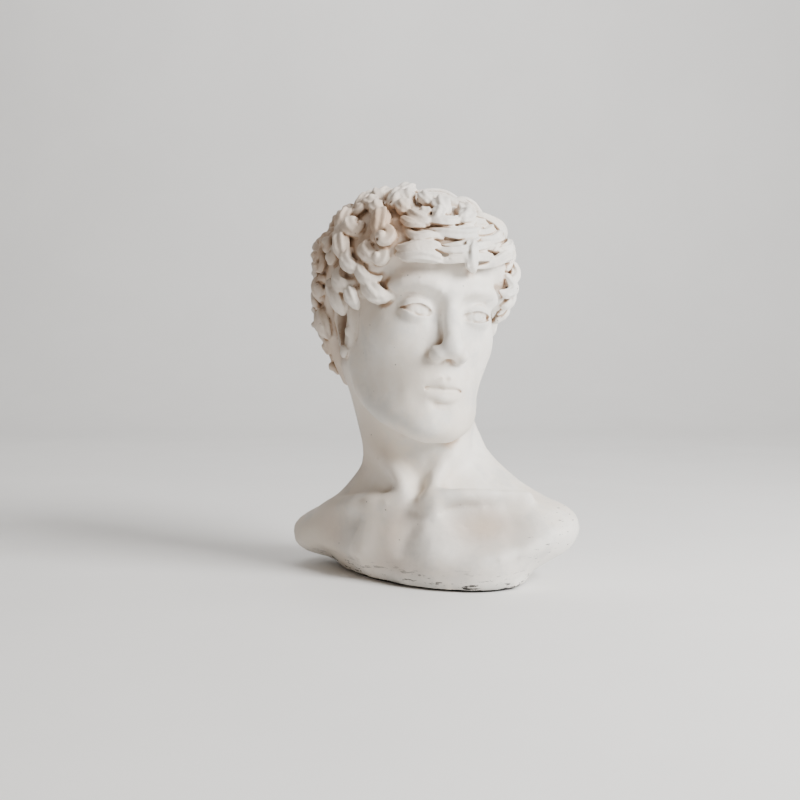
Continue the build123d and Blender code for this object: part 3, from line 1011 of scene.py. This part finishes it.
def stage_material(colours):
    """The pale board of the floor, very faintly clouded."""
    material, t = new_material("pale_board", Specular_IOR_Level=0.3)
    grain = t.group(surface_grain, Cloud_Size=6.0, Grain_Size=240.0, Pit_Share=0.0)
    darker = tuple(0.97 * c for c in colours.floor)
    t.surface(t.mix(t.steps(grain["Patch"], 0.35, 0.65), colours.floor, darker),
              t.steps(grain["Cloud"], 0.3, 0.7, 0.5, 0.6))
    return material


# --- what a user may change -------------------------------------------------------------------------------
def colour(name, description, default):
    return bpy.props.FloatVectorProperty(name=name, description=description, default=default, size=3,
                                         min=0.0, max=1.0, subtype="COLOR")


class BustSizes(bpy.types.PropertyGroup):
    grain: bpy.props.FloatProperty(
        name="Clay Grain", description="Spacing of the grid that the bust is modelled on",
        default=0.0012, min=0.0008, max=0.006, unit="LENGTH", subtype="DISTANCE")
    locks: bpy.props.IntProperty(
        name="Locks", description="How many places on the whole scalp a lock may start from",
        default=300, min=40, max=900)
    felt_edge: bpy.props.FloatProperty(
        name="Felt Edge", description="How far the cut edge of the felt wanders",
        default=0.0006, min=0.0, max=0.002, unit="LENGTH", subtype="DISTANCE")


class BustColours(bpy.types.PropertyGroup):
    stone: colour("Stone", "Main colour of the painted skin", (0.76, 0.70, 0.62))
    stone_light: colour("Light Stone", "Colour of its lighter patches", (0.86, 0.835, 0.79))
    stone_grey: colour("Grey Stone", "Colour of its cool grey patches", (0.64, 0.635, 0.61))
    # the painted shade in the recesses
    stone_shade: colour("Recess", "Colour that has settled in the recesses", (0.42, 0.29, 0.195))
    # the painted warm shade in the broad hollows and on the shaded side
    stone_wash: colour("Wash", "The thin tan wash in the broad hollows", (0.54, 0.405, 0.30))
    # the darker colour towards the foot
    stone_grime: colour("Grime", "Smudges along the lower edge", (0.20, 0.21, 0.20))
    core: colour("Core", "The dark core that chips lay bare", (0.035, 0.032, 0.03))
    plaster: colour("Plaster", "The wads inside", (0.82, 0.80, 0.75))
    scrim: colour("Scrim", "The threads of the lining", (0.55, 0.46, 0.30))
    wood_dark: colour("Dark Wood", "The late wood of the battens and board", (0.42, 0.26, 0.13))
    wood_light: colour("Light Wood", "The early wood of the battens and board", (0.70, 0.52, 0.33))
    steel: colour("Steel", "Rod, nuts, washers and screws", (0.62, 0.63, 0.64))
    felt: colour("Felt", "The sheet under the foot", (0.012, 0.012, 0.014))
    floor: colour("Floor", "The floor and the backdrop", (0.86, 0.86, 0.855))


def link(obj):
    bpy.context.scene.collection.objects.link(obj)
    return obj


def dress(nodes, material):
    """Gives carried-over nodes a better material."""
    for name in nodes:
        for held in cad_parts[name].material_slots:
            held.material = material


# --- the pieces -------------------------------------------------------------------------------------------
ROOM_BELOW, ROOM_ABOVE = (16, 16, 6), (16, 16, 14)  # the grid's room round the casting, in millimetres
WEATHER_SEED = 5
FELT_POINTS = 360  # points round the felt's edge
# the felt's edge from below to above: the share of its thickness, and how far in, in thicknesses
FELT_EDGE = ((0.0, 1.0), (0.0, 0.2), (0.25, 0.0), (0.75, 0.0), (1.0, 0.2), (1.0, 1.0))


class BUST_OT_casting(bpy.types.Operator):
    """Sculpt the casting: shoulders, neck, head, face and hair in one skin with its hollow"""

    bl_idname = "bust.casting"
    bl_label = "Casting"

    def execute(self, context):
        sizes, colours = context.scene.bust_sizes, context.scene.bust_colours
        step = sizes.grain / MM * 1.0
        low, high = (np.array(c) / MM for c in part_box("bust_casting"))
        clay = Clay(low - ROOM_BELOW, high + ROOM_ABOVE, step)
        shape_shoulders(clay)
        shape_head(clay)
        shape_brow_and_nose(clay)
        shape_hair(clay, sizes.locks)
        for side in SIDES:
            shape_eye(clay, side)
            shape_ear(clay, side)
        shape_mouth(clay)
        clay.weather(0.22, 14, 46, np.random.default_rng(WEATHER_SEED))
        hollow_out(clay)
        piece = link(bpy.data.objects.new("cast_bust", mesh_of(clay, "cast_bust")))
        piece.data.materials.append(casting_material(colours))
        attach(piece, "root")
        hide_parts("bust_casting")
        return {"FINISHED"}


class BUST_OT_reinforcement(bpy.types.Operator):
    """Finish what reinforces the casting inside: scrim, plaster wads, rod, batten and blocks"""

    bl_idname = "bust.reinforcement"
    bl_label = "Reinforcement"

    def execute(self, context):
        colours = context.scene.bust_colours
        dress(("scrim_lining",), scrim_material(colours))
        dress(("neck_wad", "crown_wad"), plaster_material(colours))
        dress(("neck_rod", "rod_washers", "rod_nuts", "base_screws"), steel_material(colours))
        softwood = wood_material("softwood", colours.wood_dark, colours.wood_light, 60.0)
        dress(("cross_batten", "rim_blocks"), softwood)
        return {"FINISHED"}


class BUST_OT_base(bpy.types.Operator):
    """Finish the base board, and lay the felt with its cut edge under it"""

    bl_idname = "bust.base"
    bl_label = "Base"

    def execute(self, context):
        sizes, colours = context.scene.bust_sizes, context.scene.bust_colours
        dark = tuple(0.8 * c for c in colours.wood_dark)
        dress(("base_board",), wood_material("board_wood", dark, colours.wood_light, 35.0))
        self.lay_felt(sizes.felt_edge, felt_material(colours))
        return {"FINISHED"}

    def lay_felt(self, wander, material):
        """The felt: level on both faces, with a cut edge that wanders a little and is pressed round."""
        low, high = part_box("felt_sheet")
        middle = [(a + b) / 2 for a, b in zip(low[:2], high[:2])]
        count = FELT_POINTS
        reach = outline("felt_sheet", [(low.z + high.z) / 2], middle, ways=count)[0]
        angles = np.arange(count) * tau / count
        reach = reach - wander * (1 + np.sin(17 * angles) * np.cos(41 * angles)) / 2
        edge = np.stack((np.cos(angles), np.sin(angles)), 1)
        thick = high.z - low.z
        rings = []
        for height, drawn_in in FELT_EDGE:
            flat = np.array(middle) + edge * (reach - thick * drawn_in)[:, None]
            rings.append(np.hstack((flat, np.full((count, 1), low.z + height * thick))))
        points = np.vstack(rings)
        faces = []
        for first in range(0, len(points) - count, count):
            for k in range(count):
                after = (k + 1) % count
                faces.append((first + k, first + after, first + count + after, first + count + k))
        faces += [tuple(range(count - 1, -1, -1)), tuple(range(len(points) - count, len(points)))]
        mesh = bpy.data.meshes.new("felt")
        mesh.from_pydata(points.tolist(), [], faces)
        mesh.materials.append(material)
        felt = link(bpy.data.objects.new("felt", mesh))
        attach(felt, "root")
        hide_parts("felt_sheet")


AHEAD = Vector((-0.469, 0.883, 0))  # the level way that the camera looks
LOOKS_DOWN = radians(2.51)
BUST_MIDDLE, WALL_MIDDLE = (0.0, 0.0, 0.24), (-1.5, 2.8, 0.7)
LIGHTS = (  # name, place, what it shines at, size, power and tint
    ("window", (2.15, -0.35, 1.35), BUST_MIDDLE, 1.1, 150.0, (1.0, 0.985, 0.96)),
    ("front_fill", (-0.3, -2.4, 1.3), BUST_MIDDLE, 2.0, 4.5, (1.0, 0.76, 0.56)),
    ("wall_wash", (-0.5, 0.9, 3.0), WALL_MIDDLE, 2.4, 70.0, (1.0, 0.99, 0.975)),
)
ROOM_COLOUR, ROOM_STRENGTH = (1.0, 0.90, 0.81, 1.0), 0.13


class BUST_OT_stage(bpy.types.Operator):
    """Set the pale floor, the soft window light and the camera"""

    bl_idname = "bust.stage"
    bl_label = "Stage"

    def execute(self, context):
        colours = context.scene.bust_colours
        self.floor(stage_material(colours))
        self.lights()
        self.camera(context)
        return {"FINISHED"}

    def floor(self, material):
        """One sheet that lies flat under the bust and sweeps up behind it."""
        reach, half_width, bend, wall = 3.2, 4.0, 0.9, 3.4
        profile = [(-reach, 0.0), (reach - bend, 0.0)]
        for a in np.linspace(0.1, pi / 2, 12):
            profile.append((reach - bend + bend * sin(a), bend - bend * cos(a)))
        profile.append((reach, wall))
        away = AHEAD.normalized()
        across = Vector((away.y, -away.x, 0))
        rows = [[away * d + across * s + Vector((0, 0, z)) for s in (-half_width, half_width)]
                for d, z in profile]
        mesh = bpy.data.meshes.new("floor")
        points = [tuple(p) for row in rows for p in row]
        faces = [(2 * k, 2 * k + 1, 2 * k + 3, 2 * k + 2) for k in range(len(rows) - 1)]
        mesh.from_pydata(points, [], faces)
        mesh.polygons.foreach_set("use_smooth", np.ones(len(faces), bool))
        mesh.materials.append(material)
        link(bpy.data.objects.new("floor", mesh))

    def lights(self):
        for name, place, target, size, power, tint in LIGHTS:
            light = bpy.data.lights.new(name, "AREA")
            light.size, light.energy, light.color = size, power, tint
            obj = link(bpy.data.objects.new(name, light))
            obj.location = place
            obj.rotation_euler = (Vector(target) - Vector(place)).to_track_quat("-Z", "Y").to_euler()
        world = bpy.data.worlds.new("room")
        world.use_nodes = True
        background = world.node_tree.nodes["Background"].inputs
        background["Color"].default_value = ROOM_COLOUR
        background["Strength"].default_value = ROOM_STRENGTH
        bpy.context.scene.world = world

    def camera(self, context):
        lens = bpy.data.cameras.new("camera")
        lens.lens, lens.sensor_width = 57.4, 36.0
        camera = link(bpy.data.objects.new("camera", lens))
        camera.location = (0.672, -1.330, 0.266)
        look = AHEAD * cos(LOOKS_DOWN) - Vector((0, 0, sin(LOOKS_DOWN)))
        camera.rotation_euler = look.to_track_quat("-Z", "Y").to_euler()
        context.scene.camera = camera


OPERATORS = (BUST_OT_casting, BUST_OT_reinforcement, BUST_OT_base, BUST_OT_stage)


class BUST_PT_panel(bpy.types.Panel):
    """Sizes, colours and steps of the bust"""

    bl_idname = "BUST_PT_panel"
    bl_label = "Cast Bust"
    bl_space_type = "VIEW_3D"
    bl_region_type = "UI"
    bl_category = "Bust"

    def draw(self, context):
        for group in (context.scene.bust_sizes, context.scene.bust_colours):
            box = self.layout.box()
            for name in group.bl_rna.properties.keys():
                if name not in ("rna_type", "name"):
                    box.prop(group, name)
        for operator in OPERATORS:
            self.layout.operator(operator.bl_idname)


CLASSES = (BustSizes, BustColours, *OPERATORS, BUST_PT_panel)


def register():
    for item in CLASSES:
        bpy.utils.register_class(item)
    bpy.types.Scene.bust_sizes = bpy.props.PointerProperty(type=BustSizes)
    bpy.types.Scene.bust_colours = bpy.props.PointerProperty(type=BustColours)


def unregister():
    del bpy.types.Scene.bust_colours
    del bpy.types.Scene.bust_sizes
    for item in reversed(CLASSES):
        bpy.utils.unregister_class(item)


def main():
    register()
    bpy.ops.bust.casting()
    bpy.ops.bust.reinforcement()
    bpy.ops.bust.base()
    bpy.ops.bust.stage()


if __name__ == "__main__":
    main()
